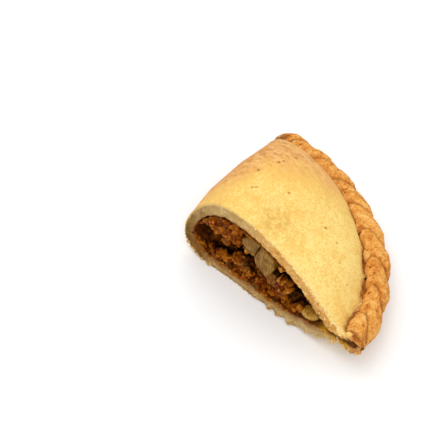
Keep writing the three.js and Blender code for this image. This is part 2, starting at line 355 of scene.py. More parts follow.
def cameraAxes():
    azimuth = math.radians(cameraView["azimuth"])
    elevation = math.radians(cameraView["elevation"])
    flat = math.cos(elevation)
    back = Vector((math.sin(azimuth) * flat, -math.cos(azimuth) * flat, math.sin(elevation)))
    right = Vector((math.cos(azimuth), math.sin(azimuth), 0))
    return right, back.cross(right), back


def cameraSpot():
    return Vector(fromLayout(cameraView["target"])) + cameraAxes()[2] * cameraView["distance"] * mm


def seenSpot(tree, pixel):      # the place on a surface that the camera sees at a pixel
    right, up, back = cameraAxes()
    side = cameraView["imageSide"]
    scale = cameraView["frameWidth"] / side
    way = right * (pixel[0] - side / 2) * scale - up * (pixel[1] - side / 2) * scale
    return tree.ray_cast(cameraSpot(), (way - back * cameraView["distance"]).normalized())[0]


def makeCamera():
    bpy.ops.object.camera_add(location=cameraSpot())
    camera = bpy.context.object
    camera.rotation_euler = (-cameraAxes()[2]).to_track_quat("-Z", "Y").to_euler()
    camera.data.sensor_width = cameraView["sensor"]
    camera.data.lens = cameraView["sensor"] * cameraView["distance"] / cameraView["frameWidth"]
    camera.data.clip_start = cameraView["clipStart"]
    bpy.context.scene.camera = camera


makeCamera()
print("camera set")


# crimp: rolled folds of dough along the closed edge

crimpLook = {           # mm, and runs are distances along the edge from the cut
    "reach": 70.2, "tip": 50.9, "height": 11.8,         # the edge's middle line
    "lineDegrees": (-14, 88.6), "linePoints": 700,
    "halfWidth": 5.35, "halfDepth": 4.8, "taper": 0.14,
    "narrowing": 0.36, "narrowRun": 65.0, "narrowPower": 1.3, "shift": 1.35,
    "tipNarrowing": 0.2, "tipRun": (70, 88),
    "lastWider": 0.95, "lastShift": 0.25, "lastRun": (6, 17),       # the last fold before the cut
    "tuck": 1.5, "tuckRun": (0.2, 3.8),                 # its inner side drawn in at the cut
    "pressed": 0.34, "pressedRun": (0.5, 7),
    "endRound": 4.6, "endClose": 0.96, "endDrop": 3.6,
    "foldsRound": 2, "pitch": 11.6, "phase": 12.0, "scallop": 0.4, "bulge": 9.2,
    "creasePath": (     # degrees round from the outer side, and how far the crease runs ahead there
        (0, 2.4), (10, 1.8), (40, 0.7), (56, 1.3), (72, 2.1), (86, 2.8), (100, 3.2), (118, 2.3), (130, 0.9),
        (150, -2.7), (180, -3.6), (215, -2.5), (255, 0.8), (300, 3.8), (330, 4.0), (360, 2.4),
    ),
    "creaseBlur": (-10, -5, 0, 5, 10),
    "around": 160,
    "along": 430,
    "gridStart": -4.0,      # before the cut
    "start": 1.8,           # trimmed here, behind the cut
    "foldDepth": 0.40,      # how far a fold's edges tuck in, as a share of its size
    "flatterTip": 0.3, "flatterRun": (35, 75),
    "tail": (1.0, 0.25),    # shares of that depth, and their run, at the inner and the outer side
    "head": (0.15, 0.25),
    "tailRun": (0.62, 0.2),
    "headRun": (0.2, 0.24),
    "tailPower": 1.7, "headPower": 2,
    "uneven": 0.06,
    "wrinkle": 0.2,
    "lumps": (2.6, 0.6),
    "grain": (0.6, 0.25),
    "mergeWithin": 0.004,
    "bake": 0.31, "outerBake": 0.06, "tipBake": 0.01, "tipStreaks": 0.6, "tipShare": (0.86, 0.97),
    "middleBake": 0.05, "middleRun": (24, 11), "gapShade": 0.16, "gapReach": 0.12,
    "creaseReach": 0.028, "outerReach": 0.012,
    "domeLine": 0.8, "domeReach": 0.4,      # painted shade along the line where a fold meets the dome
}


def crimpLine():        # points, distance from the cut and heading along the edge
    angles = np.radians(np.linspace(*crimpLook["lineDegrees"], crimpLook["linePoints"]))
    line = np.stack([crimpLook["reach"] * np.cos(angles), crimpLook["tip"] * np.sin(angles)], 1)
    run = np.concatenate([[0], np.cumsum(np.hypot(*np.diff(line, axis=0).T))])
    run -= np.interp(0, angles, run)
    ahead = np.gradient(line, axis=0)
    return line, run, ahead / np.linalg.norm(ahead, axis=1)[:, None]


edgeLine, edgeRun, edgeAhead = crimpLine()
crimpEnd = edgeRun[-1] + crimpLook["endRound"]


def crimpSizes(distance):       # half width, closing at the tip, sideways shift and drop
    look = crimpLook
    past = np.clip(1 - (crimpEnd - distance) / (2 * look["endRound"]), 0, 1)
    toCut = np.clip(1 - distance / look["narrowRun"], 0, 1) ** look["narrowPower"]
    taper = 1 - look["taper"] * np.clip(distance, 0, None) / crimpEnd
    close = taper * np.sqrt(1 - (look["endClose"] * past) ** 2)
    wave = np.cos(2 * np.pi * (distance - look["bulge"]) / look["pitch"])
    width = (look["halfWidth"] + look["scallop"] * wave) * (1 - look["narrowing"] * toCut)
    width = width * (1 - look["tipNarrowing"] * ease(distance, *look["tipRun"]))
    lastFold = 1 - ease(distance, *look["lastRun"])
    tuck = look["tuck"] * (1 - ease(distance, *look["tuckRun"]))
    width = width + look["lastWider"] * lastFold - tuck
    shift = look["shift"] * toCut - look["lastShift"] * lastFold + tuck
    return width, close, shift, look["endDrop"] * past ** 2


def creaseShift(turn):
    angles, shifts = np.array(crimpLook["creasePath"]).T
    degrees = np.degrees(turn)
    steps = crimpLook["creaseBlur"]
    return np.mean([np.interp((degrees + step) % 360, angles, shifts) for step in steps], axis=0)


def onCrimp(distance, outward, height):
    held = np.clip(distance, edgeRun[0], edgeRun[-1])
    spot = [np.interp(held, edgeRun, edgeLine[:, k]) for k in (0, 1)]
    way = [np.interp(held, edgeRun, edgeAhead[:, k]) for k in (0, 1)]
    past = distance - held
    return np.stack([
        spot[0] + way[0] * past + way[1] * outward,
        spot[1] + way[1] * past - way[0] * outward,
        crimpLook["height"] + height,
    ], -1)


def crimpCloseness(spots):      # 1 on the crimp's surface, more outside it, for places in the layout
    nearest = np.concatenate([
        ((part[:, None, :2] - edgeLine[None]) ** 2).sum(2).argmin(1) for part in np.array_split(spots, 60)
    ])
    offset = spots[:, :2] - edgeLine[nearest]
    ahead = edgeAhead[nearest]
    along = edgeRun[nearest] + (offset * ahead).sum(1)
    outward = offset[:, 0] * ahead[:, 1] - offset[:, 1] * ahead[:, 0]
    width, close, shift, drop = crimpSizes(along)
    across = (outward - shift) / width
    height = (spots[:, 2] - crimpLook["height"] + drop) / crimpLook["halfDepth"]
    return along, np.hypot(across, height) / np.maximum(close, 0.3)


def foldProfile(share, outside, distance):     # across one fold: flat, with both edges tucked in
    look = crimpLook
    depth = look["foldDepth"] * (1 - look["flatterTip"] * ease(distance, *look["flatterRun"]))
    tail, head, tailRun, headRun = (
        look[name][0] + (look[name][1] - look[name][0]) * outside for name in ("tail", "head", "tailRun", "headRun")
    )
    tail = tail * np.clip(1 - share / tailRun, 0, 1) ** look["tailPower"]
    head = head * np.clip(1 - (1 - share) / headRun, 0, 1) ** look["headPower"]
    return 1 - depth * (tail + head)


def makeCrimp(material):
    look = crimpLook
    folds, start = look["foldsRound"], look["gridStart"]
    bpy.ops.object.select_all(action="DESELECT")
    bpy.ops.mesh.primitive_grid_add(x_subdivisions=look["around"], y_subdivisions=look["along"], size=2)
    piece = bpy.context.object
    piece.name = "crimpRope"
    grid = readSpots(piece)
    around = (grid[:, 0] + 1) / 2 * folds
    around[around >= folds - 1e-6] = 0
    distance = start + (crimpEnd - start) * (grid[:, 1] + 1) / 2
    share = around % 1
    twist = 2 * np.pi / (folds * look["pitch"])
    turn = np.pi + twist * (distance - look["phase"]) - 2 * np.pi * around / folds
    outside = 0.5 + 0.5 * np.cos(turn)
    fade = np.clip((crimpEnd - distance) / (4 * look["endRound"]), 0, 1)
    along = distance + fade * creaseShift(turn)
    width, close, shift, drop = crimpSizes(along)
    wave = np.stack([np.cos(2 * np.pi * share), np.cos(turn), distance / 9], 1)
    fullness = 1 + look["uneven"] * unevenness(wave, 0.9, 3)
    streaks = unevenness(np.stack([share * 6, distance / 4, np.floor(around) * 5], 1), 0.8, 8, 3)
    wrinkles = look["wrinkle"] * streaks * np.sin(np.pi * share) ** 0.5 * close
    scale = close * foldProfile(share, outside, distance) * fullness
    outward = shift + (width * scale + wrinkles) * np.cos(turn)
    height = (look["halfDepth"] * scale + wrinkles) * np.sin(turn) - drop
    height = height * (1 - look["pressed"] * (1 - ease(along, *look["pressedRun"])))
    spots = onCrimp(along, outward, height)
    tipEnd = grid[:, 1] > 1 - 1e-6
    spots[tipEnd] = spots[tipEnd].mean(0)
    writeSpots(piece, fromLayout(spots))
    gap = np.minimum(share, 1 - share)
    toTip = ease(distance, *(part * crimpEnd for part in look["tipShare"]))
    bake = look["bake"] + look["outerBake"] * outside + look["tipBake"] * toTip
    bake = bake - look["tipStreaks"] * toTip * streaks + look["middleBake"] * hump(distance, *look["middleRun"])
    # painted shade: the bake is raised in the gaps between folds
    giveValue(piece, "bake", bake + look["gapShade"] * hump(gap, 0, look["gapReach"]))
    # painted shade: a dark band in each gap between folds, narrower on the outer side and uneven along it
    broken = 0.9 - 0.3 * outside + 0.5 * unevenness(np.stack([turn * 2, distance / 3, 0 * turn], 1), 1.0, 5, 2)
    giveValue(piece, "crease", np.exp(-gap / (look["creaseReach"] + look["outerReach"] * outside)) * broken)
    giveValue(piece, "streak", 0.5 + 0.6 * streaks)
    giveValue(piece, "rope", np.ones(len(share)))
    bpy.ops.object.mode_set(mode="EDIT")
    bpy.ops.mesh.select_all(action="SELECT")
    bpy.ops.mesh.remove_doubles(threshold=look["mergeWithin"] * mm)
    bpy.ops.mesh.normals_make_consistent(inside=False)
    bpy.ops.mesh.select_all(action="SELECT")
    bpy.ops.mesh.bisect(
        plane_co=fromLayout((0, look["start"], 0)), plane_no=(0, -1, 0), clear_outer=True, use_fill=True,
    )
    bpy.ops.object.mode_set(mode="OBJECT")
    roughen(piece, "crimpLumps", *look["lumps"])
    roughen(piece, "crimpGrain", *look["grain"], depth=3)
    return finishPiece(piece, material, "crust", "crust")


# painted shade on the crimp where it meets the dome
def shadeByDome(piece, shell):
    near = hump(distances(treeOf(shell), readSpots(piece), 3), 0, crimpLook["domeReach"])
    crease = np.maximum(readValue(piece, "crease"), crimpLook["domeLine"] * near)
    piece.data.attributes["crease"].data.foreach_set("value", crease.astype(np.float32))


# crust: the folded dough, cut across

crustLook = {
    "voxel": 0.39,
    "smoothRounds": (110, 4, 24, 3),    # skin, crimp, inside and cut
    "heldAtCut": (0.5, 5), "heldAtFloor": 0.3,
    "hiddenFrom": 17.0,         # behind this the inside is out of sight
    "coveredFrom": 6.0,         # and the shell is under the crimp's own piece
    "hiddenKept": 0.12,
    "crimpReach": 1.1,          # the shell counts as crimp this close to it, and more by the tip's outer side
    "tipReach": 0.5, "tipRun": (60, 76),
    "crimpInner": 0.5, "pastTip": 2,
    "cutDepth": 0.4, "edgeDepth": 1.2,
    "lookOut": 70.0, "lookFrom": 0.4,   # a point that looks at dough within this is inside
    "crimpSunk": 1.8,           # the crimp's own piece stands over this much of the shell
    "sunkRun": (0.8, 4),
    "groove": (0.55, 1.6),      # depth and reach of the line where the dome meets the crimp
    "swell": (15.0, 1.3),       # size and depth of unevenness, mm
    "dimples": (3.4, 0.26),
    "crumbGrain": (0.9, 0.3),
    "crumbClumps": (3.1, 0.5),
    "insideGrain": (1.3, 1.0),
    "endGrain": (1.3, 1.5),     # the torn end of the crimp at the cut
    "endFrom": (62, 67), "endDepth": (0.5, 2.5),
    "tearDepth": 1.0,
    "tearReach": 2.2,
    "tearSize": 1.6,
    "tornEvenly": 0.3, "tornRun": (34, 56),
    "looseness": (0.7, 1.6), "looseSize": 5.0, "looseLimits": (0.1, 1.8),   # flakes stand out unevenly
    "endTop": (
        (64.5, 60.0), (65.8, 14.6), (68.0, 14.4), (70.0, 14.7), (71.5, 14.8), (76.3, 13.6), (78.0, 13.0),
    ),
    "endPress": 0.9, "endRun": (2, 6),
    "seam": ((59.6, 10.6), (62.6, 9.9), (65.3, 9.8), (69.9, 11.1), (72.6, 12.2)),   # open between the layers
    "sauceLine": ((50.0, 8.8), (56.0, 8.4), (60.5, 8.8), (63.8, 7.8), (70.2, 9.2)),
    "hole": ((70.3, 13.3), (70.6, 13.9)),
    "curl": ((71.4, 13.5), (73.4, 13.3), (75.4, 12.8)),    # under the last fold's lip
    "opened": (("seam", 0.6, 1.2), ("hole", 0.3, 0.9), ("curl", 0.4, 0.6)),     # depth and reach
    "spots": (          # small brown spots of the dome, by pixel, and their size
        ((258, 170), 0.5), ((279, 162), 0.6), ((284, 161), 0.4), ((326, 228), 0.5), ((337, 243), 0.3),
        ((327, 244), 0.24), ((289, 193), 0.35), ((256, 187), 0.4), ((252, 187), 0.4), ((303, 157), 0.4),
        ((296, 158), 0.5), ((340, 263), 0.22), ((316, 262), 0.22), ((347, 285), 0.24), ((366, 279), 0.7),
    ),
    "spotDepth": 1.4, "spotReach": 0.85,
    "smudge": ((275, 220), 6.0),
    "bake": 0.10, "warmBake": 0.20, "foldBakeAndShade": 0.30, "underBake": 0.30, "paintedLightBake": 0.06, "ropeBake": 0.6,
    "crimpSideShade": 0.05, "joinReach": 3.5, "jointReach": 0.8,
    "ropeFace": 1.5, "curlShade": 0.8, "curlReach": 0.5, "sauceReach": 0.75,
    "zones": {          # where a tone starts and where it is full
        "warm": (-6, 22), "pale": (15, 55), "under": (0.4, 5),
        "foldSide": (-20, 2), "foldBack": (-6, 14), "foldTip": (25, 40), "foldNear": (2, 8), "foldFar": (8, 16),
        "ropeBack": (1.0, 2.4), "ropeEnd": (69.8, 70.8),
        "goldenAlong": (20, 42), "goldenUp": (8, 10.5), "whiteAlong": (36, 56), "whiteUp": (7, 9),
        "lip": (0.03, 0.3), "lipUp": (3, 6), "seamAlong": (59, 62), "seam": (0.9, 1.8), "hole": (0.4, 0.9),
        "sauceBack": (3, 7), "low": (6, 12), "juiceAlong": (18, 40), "layersAlong": (5, 12),
        "rimAndShade": (0.4, 2.2), "wet": (0.8, 4.5),
    },
}
skinKind, crimpKind, insideKind, cutKind = range(4)


def sortCrust(piece):       # the kind of surface at each point
    look = crustLook
    spots = readSpots(piece)
    normals = readNormals(piece)
    flat = toLayout(spots)
    edges = readEdges(piece)
    along, closeness = crimpCloseness(flat)
    outer = np.hypot(flat[:, 0] / crimpLook["reach"], flat[:, 1] / crimpLook["tip"]) > 1
    reach = look["crimpReach"] + look["tipReach"] * outer * ease(along, *look["tipRun"])
    crimp = (closeness < reach) & (closeness > look["crimpInner"]) & (along < crimpEnd + look["pastTip"])
    crimp = spread(crimp.astype(float), edges, 3) > 0.5
    cut = (flat[:, 1] < look["cutDepth"]) & (normals[:, 1] < -0.5)
    tree = nodeTrees["crust"]
    inside = np.array([
        tree.ray_cast(Vector(s + look["lookFrom"] * mm * n), Vector(n), look["lookOut"] * mm)[0] is not None
        for s, n in zip(spots, normals)
    ])
    inside = spread((inside & ~crimp & ~cut).astype(float), edges, 3) > 0.5
    byInside = spread(inside.astype(float), edges, 5) > 0.01
    inside |= byInside & (flat[:, 1] < look["edgeDepth"]) & ~cut
    kinds = np.full(len(spots), skinKind)
    kinds[crimp] = crimpKind
    kinds[inside & ~crimp] = insideKind
    kinds[cut] = cutKind
    return kinds, flat, edges


def shareOf(kinds, kind, edges, rounds):        # 1 on one kind of surface, blurred at its border
    return spread((kinds == kind).astype(float), edges, rounds)


def relaxCrust(piece, kinds, edges):    # takes the facets out, surface by surface
    rounds = crustLook["smoothRounds"]
    limit = np.array(rounds)[kinds]
    a, b = edges.T
    count = len(kinds)
    meets = (kinds[a] != kinds[b]) & (kinds[a] != cutKind) & (kinds[b] != cutKind)
    pinned = np.zeros(count, bool)
    pinned[edges[meets].ravel()] = True
    alike = kinds[a] == kinds[b]
    a, b = a[alike], b[alike]
    links = np.bincount(a, minlength=count) + np.bincount(b, minlength=count)
    spots = readSpots(piece)
    free = np.ones((count, 3))
    free[:, 1] = ease(toLayout(spots)[:, 1], *crustLook["heldAtCut"])
    free[toLayout(spots)[:, 2] < crustLook["heldAtFloor"], 2] = 0
    free[pinned | (links == 0)] = 0
    for step in range(max(rounds)):
        moving = free * (limit > step)[:, None]
        for axis in range(3):
            line = spots[:, axis]
            mean = (np.bincount(a, line[b], count) + np.bincount(b, line[a], count)) / np.maximum(links, 1)
            spots[:, axis] = line + 0.5 * moving[:, axis] * (mean - line)
    writeSpots(piece, spots)


def sinkUnderCrimp(piece, kinds, edges, byCrimp):
    depth, reach = crustLook["groove"]
    amount = shareOf(kinds, crimpKind, edges, 2) * (kinds == crimpKind) * crustLook["crimpSunk"]
    amount += (kinds == skinKind) * depth * hump(byCrimp, 0, reach)
    spots = readSpots(piece)
    amount = amount * ease(toLayout(spots)[:, 1], *crustLook["sunkRun"]) * mm
    writeSpots(piece, spots - readNormals(piece) * amount[:, None])


def pressEnd(piece):        # the crimp's end at the cut is flattened, and the dome runs out to it
    flat = toLayout(readSpots(piece))
    x, y, z = flat.T
    top = np.interp(x, *np.array(crustLook["endTop"]).T)
    flat[:, 2] -= crustLook["endPress"] * np.clip(z - top, 0, None) * (1 - ease(y, *crustLook["endRun"]))
    writeSpots(piece, fromLayout(flat))


def lineCloseness(flat, name):      # distance from a line drawn on the cut
    places = flat[:, [0, 2]]
    corners = np.array(crustLook[name])
    nearest = np.full(len(flat), 99.0)
    for first, way in zip(corners, np.diff(corners, axis=0)):
        share = np.clip(((places - first) @ way) / (way @ way), 0, 1)
        nearest = np.minimum(nearest, np.linalg.norm(places - first - share[:, None] * way, axis=1))
    return nearest


def cavityCloseness(flat, kinds, isCut):     # distance on the cut from the edge of the inside
    onCut = np.nonzero(isCut > 0)[0]
    rimSpots = flat[(kinds == insideKind) & (flat[:, 1] < 1.0)][:, [0, 2]]
    result = np.full(len(flat), 9.0)
    for part in np.array_split(onCut, 40):
        apart = flat[part][:, None, [0, 2]] - rimSpots[None]
        result[part] = np.sqrt((apart ** 2).sum(2).min(1))
    return result


def tearCut(piece):     # the knife leaves a crumbly, dented face, a ragged top edge and an open seam
    look = crustLook
    spots = readSpots(piece)
    flat = toLayout(spots)
    near = np.nonzero(flat[:, 1] < look["tearReach"])[0]
    close = flat[near]
    x, y = close[:, 0], close[:, 1]
    dents = np.clip(unevenness(close * (1, 0.3, 1), look["tearSize"], 4), 0, None)
    ragged = look["tornEvenly"] + (1 - look["tornEvenly"]) * ease(x, *look["tornRun"])
    fall = 1 - np.clip(y, 0, None) / look["tearReach"]
    opened = (y < 1) * sum(
        depth * hump(lineCloseness(close, name), 0, reach) for name, depth, reach in look["opened"]
    )
    mean, swing = look["looseness"]
    loose = mean + swing * unevenness(close * (1, 0, 0), look["looseSize"], 12, 2)
    opened += np.minimum(y, 0) * (np.clip(loose, *look["looseLimits"]) - 1)
    spots[near, 1] += (look["tearDepth"] * dents * ragged * fall + opened) * mm
    writeSpots(piece, spots)


def zone(values, name):
    return ease(values, *crustLook["zones"][name])


def brownSpots(piece, flat):        # the dome's small spots and its smudge
    tree = treeOf(piece)
    marks = np.zeros(len(flat))
    for pixel, size in crustLook["spots"]:
        spot = seenSpot(tree, pixel)
        if spot:
            apart = np.linalg.norm(flat - toLayout(spot), axis=1)
            marks = np.maximum(marks, crustLook["spotDepth"] * hump(apart, 0, crustLook["spotReach"] * size))
    pixel, size = crustLook["smudge"]
    return marks, hump(np.linalg.norm(flat - toLayout(seenSpot(tree, pixel)), axis=1), 0, size)


def paintCrust(piece, kinds, flat, edges, byCrimp):    # values that the crust's finish reads
    look = crustLook
    x, y, z = flat.T
    isCut = shareOf(kinds, cutKind, edges, 1)
    isInside = shareOf(kinds, insideKind, edges, 2)
    isSkin = kinds == skinKind
    bySkin = shareOf(kinds, skinKind, edges, 6)
    ropeEnd = zone(x, "ropeEnd")
    isCrimp = shareOf(kinds, crimpKind, edges, 1) * np.maximum(zone(y, "ropeBack"), ropeEnd)
    rolled = np.maximum(isCrimp, ropeEnd * (y < look["ropeFace"]))
    # browner towards the fold: partly baking and partly painted shade
    toFold = zone(-x, "foldSide") * zone(y, "foldBack") * (1 - 0.6 * zone(y, "foldTip"))
    skin = look["bake"] + look["warmBake"] * zone(y - 0.8 * x, "warm") + look["foldBakeAndShade"] * toFold
    # painted shade: the dome is browner beside the crimp
    skin = skin + look["crimpSideShade"] * hump(byCrimp, 0, look["joinReach"])
    # browner low down; painted light makes the dome paler towards the crimp side
    skin = skin + look["underBake"] * (1 - zone(z, "under")) - look["paintedLightBake"] * zone(x, "pale")
    skin = skin + (look["ropeBake"] - skin) * rolled
    marks, smudge = brownSpots(piece, flat)
    bySauce = hump(lineCloseness(flat, "sauceLine"), 0, look["sauceReach"])
    byInside = cavityCloseness(flat, kinds, isCut)
    low = 1 - zone(z, "low")
    dripReach = 0.6 + 0.8 * low + 0.9 * low * (1 - zone(x, "juiceAlong"))
    layers = 0.5 + 0.5 * np.sin(6.5 * byInside + 2.5 * unevenness(flat, 4.0, 9, 2))
    # near the fold the cut is darker: torn flakes, partly painted shade
    byFold = 0.7 * (1 - zone(x - 5 * low, "foldNear")) + 0.3 * (1 - zone(x, "foldFar"))
    painted = {
        "bake": skin,
        "rope": isCrimp,
        "smudge": smudge,
        "mark": marks * isSkin,
        # painted shade: a dark line on the dome where it meets the crimp
        "jointShade": hump(byCrimp, 0, look["jointReach"]) * isSkin,
        "crumb": isCut + isInside,
        "golden": zone(x, "goldenAlong") * zone(z, "goldenUp"),
        "white": isCut * zone(x, "whiteAlong") * (1 - zone(z, "whiteUp")),
        "lip": isCut * zone(bySkin, "lip") * zone(z, "lipUp"),
        "stainAndShade": isInside,
        "rolled": isCut * rolled,
        "seam": (isCut + isInside * zone(x, "seamAlong")) * (1 - zone(lineCloseness(flat, "seam"), "seam")),
        "hole": isCut * (1 - zone(lineCloseness(flat, "hole"), "hole")),
        "crease": look["curlShade"] * isCut * hump(lineCloseness(flat, "curl"), 0, look["curlReach"]),
        "sauce": bySauce * (isCut + isInside) * (1 - zone(y, "sauceBack")),
        "juice": isCut * hump(byInside, 0, dripReach),
        "layers": isCut * layers * np.maximum(low, 1 - zone(x, "layersAlong")),
        # darker at the floor: the brown lower edge, partly painted shade
        "rimAndShade": isCut * (1 - zone(z, "rimAndShade")),
        "wet": isInside * (1 - zone(y, "wet")),
        "flakesAndShade": isCut * byFold,
    }
    for name, values in painted.items():
        giveValue(piece, name, values)


def crustFinish():
    material, tree, shader, place = startMaterial("bakedDough")
    bake, rope = valueOf(tree, "bake"), valueOf(tree, "rope")
    patches = noiseOf(tree, place, 8, 4, 0.6)
    mottle = noiseOf(tree, place, 2.2, 3, 0.6)
    speckle = noiseOf(tree, place, 0.7, 3, 0.7)
    grain = noiseOf(tree, place, 0.3, 2, 0.6)
    flush = noiseOf(tree, place, 2.2, 5, 0.75, stretch=(0.6, 1.0, 1.0))
    level = mottled(tree, bake, (patches, 0.28), (mottle, 0.20), (speckle, 0.46), (grain, 0.5))
    dome = rampOf(
        tree, level, (0.0, "#f6da86"), (0.12, "#eebf60"), (0.3, "#ecb266"), (0.5, "#dc9c54"), (0.8, "#a86428"),
    )
    flushed = rampOf(tree, bake, (0.1, 0.0), (0.36, 1.0))
    darker = scaled(tree, flushed, rampOf(tree, flush, (0.46, 0.0), (0.66, 0.75)))
    dome = mixOf(tree, darker, dome, "#c07c3c")
    paler = scaled(tree, flushed, rampOf(tree, flush, (0.34, 0.7), (0.48, 0.0)))
    dome = mixOf(tree, paler, dome, "#f4cc92")
    pores = rampOf(tree, cellsOf(tree, place, 1.7), (0.0, 1.0), (0.08, 0.8), (0.15, 0.0), (1.0, 0.0))
    pores = scaled(tree, pores, scaled(tree, bake, 1.6))
    dome = mixOf(tree, scaled(tree, pores, 0.8), dome, "#a4601f")
    level = mottled(
        tree, bake, (patches, 0.4), (mottle, 0.9), (speckle, 0.85), (grain, 0.6), (valueOf(tree, "streak"), -0.2),
    )
    rolls = rampOf(
        tree, level, (0.1, "#f2bd70"), (0.3, "#e4a450"), (0.5, "#d08435"), (0.7, "#aa5c1d"), (0.95, "#562508"),
    )
    dots = rampOf(tree, cellsOf(tree, place, 1.3), (0.0, 1.0), (0.14, 0.9), (0.3, 0.0), (1.0, 0.0))
    dots = scaled(tree, dots, rampOf(tree, mottle, (0.46, 0.0), (0.6, 1.0)))
    dots = scaled(tree, dots, rope)
    rolls = mixOf(tree, scaled(tree, dots, 0.85), rolls, "#5e2608")
    baked = mixOf(tree, rope, dome, rolls)
    blur = scaled(tree, valueOf(tree, "smudge"), rampOf(tree, mottle, (0.35, 0.0), (0.65, 1.0)))
    baked = mixOf(tree, scaled(tree, blur, 0.5), baked, "#b98d42")
    # brown spots, then painted shade along the dome's line against the crimp and in the crimp's creases
    baked = coated(tree, baked, ("mark", 0.95, "#92320a"), ("jointShade", 0.7, "#8a6526"), ("crease", 0.95, "#4e2008"))
    crumbs = noiseOf(tree, place, 3.2, 5, 0.6)
    crumbs = added(tree, scaled(tree, crumbs, 0.6), scaled(tree, speckle, 0.4))
    pale = rampOf(tree, crumbs, (0.3, "#98733f"), (0.5, "#bf995c"), (0.7, "#dec28e"))
    warm = rampOf(tree, crumbs, (0.3, "#b4742a"), (0.5, "#dea24c"), (0.7, "#f1ca84"))
    bread = mixOf(tree, valueOf(tree, "golden"), pale, warm)
    flecks = rampOf(tree, noiseOf(tree, place, 0.55, 3, 0.7), (0.54, 0.0), (0.66, 0.6))
    bread = mixOf(tree, flecks, bread, "#f0dca8")
    # dark flakes near the fold, partly painted shade
    flakes = rampOf(tree, crumbs, (0.35, "#4e2e04"), (0.65, "#88601e"))
    bread = coated(
        tree, bread, ("white", 0.5, "#dfc68e"), ("flakesAndShade", 0.95, flakes), ("layers", 0.4, "#9a722e"),
        ("lip", 0.7, "#f2d288"),
    )
    for name, shares, colour in (
        ("rimAndShade", ((0.3, 1.0), (0.6, 0.3)), "#855820"), ("juice", ((0.3, 1.0), (0.65, 0.55)), "#8a4c12"),
    ):
        bread = mixOf(tree, scaled(tree, valueOf(tree, name), rampOf(tree, mottle, *shares)), bread, colour)
    bread = coated(tree, bread, ("rolled", 0.8, baked))
    # inside the crust: sauce-soaked dough, darker deeper in as painted shade; lighter gravy near the front
    soakedAndShaded = noiseOf(tree, place, 1.8, 5, 0.7)
    soakedAndShaded = rampOf(tree, soakedAndShaded, (0.3, "#2c0f01"), (0.55, "#6a3005"), (0.75, "#a06014"))
    gravy = noiseOf(tree, place, 1.5, 5, 0.7)
    gravy = rampOf(tree, gravy, (0.3, "#3e1802"), (0.5, "#763808"), (0.7, "#a26016"))
    seam = rampOf(tree, crumbs, (0.36, "#3c1400"), (0.52, "#683808"), (0.68, "#9c6624"))
    colour = mixOf(tree, valueOf(tree, "crumb"), baked, bread)
    colour = mixOf(tree, valueOf(tree, "stainAndShade"), colour, mixOf(tree, valueOf(tree, "wet"), soakedAndShaded, gravy))
    # the open seam between the layers is painted dark brown: sauce and painted shade
    colour = mixOf(tree, valueOf(tree, "seam"), colour, seam)
    colour = coated(tree, colour, ("sauce", 0.85, "#d69c28"))
    # painted shade: the hole at the crimp's end is coloured near black
    colour = mixOf(tree, valueOf(tree, "hole"), colour, "#160702")
    setSurface(tree, shader, colour, 0.7, 0.12)
    pitted = scaled(tree, valueOf(tree, "mark"), -0.3)
    height = added(tree, speckle, scaled(tree, grain, 0.8), scaled(tree, dots, -0.4), pitted)
    bumpOf(tree, shader, height, 0.7, 0.5)
    return material


def makeCrust(material, crimp):
    look = crustLook
    piece = copyNode("crust", "crustShell")
    remesh(piece, look["voxel"])
    kinds, flat, edges = sortCrust(piece)
    hidden = (kinds == insideKind) & (flat[:, 1] > look["hiddenFrom"])
    hidden |= (kinds == crimpKind) & (flat[:, 1] > look["coveredFrom"])
    thinHidden(piece, hidden, look["hiddenKept"])
    kinds, flat, edges = sortCrust(piece)
    relaxCrust(piece, kinds, edges)
    byCrimp = distances(treeOf(crimp), readSpots(piece), 6)
    sinkUnderCrimp(piece, kinds, edges, byCrimp)
    pressEnd(piece)
    giveGroup(piece, "skinArea", shareOf(kinds, skinKind, edges, 4) * ease(flat[:, 2], 0.5, 4))
    giveGroup(piece, "cutArea", shareOf(kinds, cutKind, edges, 1))
    giveGroup(piece, "insideArea", shareOf(kinds, insideKind, edges, 2))
    roughen(piece, "doughSwell", *look["swell"], group="skinArea", depth=1)
    roughen(piece, "doughDimples", *look["dimples"], group="skinArea")
    fray(piece, "crumbGrain", *look["crumbGrain"], "cutArea")
    fray(piece, "crumbClumps", *look["crumbClumps"], "cutArea")
    roughen(piece, "insideGrain", *look["insideGrain"], group="insideArea")
    giveGroup(piece, "endArea", ease(flat[:, 0], *look["endFrom"]) * (1 - ease(flat[:, 1], *look["endDepth"])))
    roughen(piece, "endGrain", *look["endGrain"], group="endArea", depth=3)
    tearCut(piece)
    paintCrust(piece, kinds, flat, edges, byCrimp)
    return finishPiece(piece, material, "crust", "crust")


doughMaterial = crustFinish()
crimpRope = makeCrimp(doughMaterial)
crustShell = makeCrust(doughMaterial, crimpRope)
shadeByDome(crimpRope, crustShell)


# filling: mince in craggy lumps round the hollow

